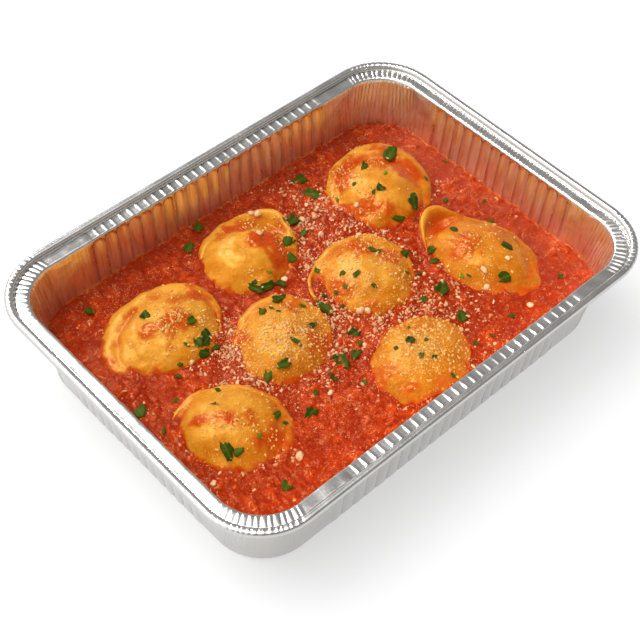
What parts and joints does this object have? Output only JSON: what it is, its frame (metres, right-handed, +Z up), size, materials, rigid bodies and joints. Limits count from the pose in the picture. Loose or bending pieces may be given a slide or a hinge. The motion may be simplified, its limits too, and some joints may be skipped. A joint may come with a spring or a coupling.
{
  "type": "foil tray of ravioli",
  "caption": "Oblong fluted foil tray holding round filled pasta in chunky tomato sauce, strewn with chopped parsley and grated cheese. It rests on its flat base.",
  "frame": {"origin": "middle of the tray's underside", "axes": "+X along the tray's long side, +Y along its short side, +Z up out of the tray's mouth"},
  "size_m": [0.216, 0.1592, 0.0434],
  "materials": {
    "foil": "bright rolled foil, slightly scuffed",
    "tomato_sauce": "wet, lumpy tomato sauce",
    "pasta": "moist cooked egg pasta",
    "parsley": "fresh chopped leaf",
    "cheese": "finely grated hard cheese"
  },
  "bodies": {
    "root": {"tray": "foil", "sauce": "tomato_sauce", "ravioli_1": "pasta", "ravioli_2": "pasta", "ravioli_3": "pasta", "ravioli_4": "pasta", "ravioli_5": "pasta", "ravioli_6": "pasta", "ravioli_7": "pasta", "ravioli_8": "pasta"}
  },
  "joints": []
}
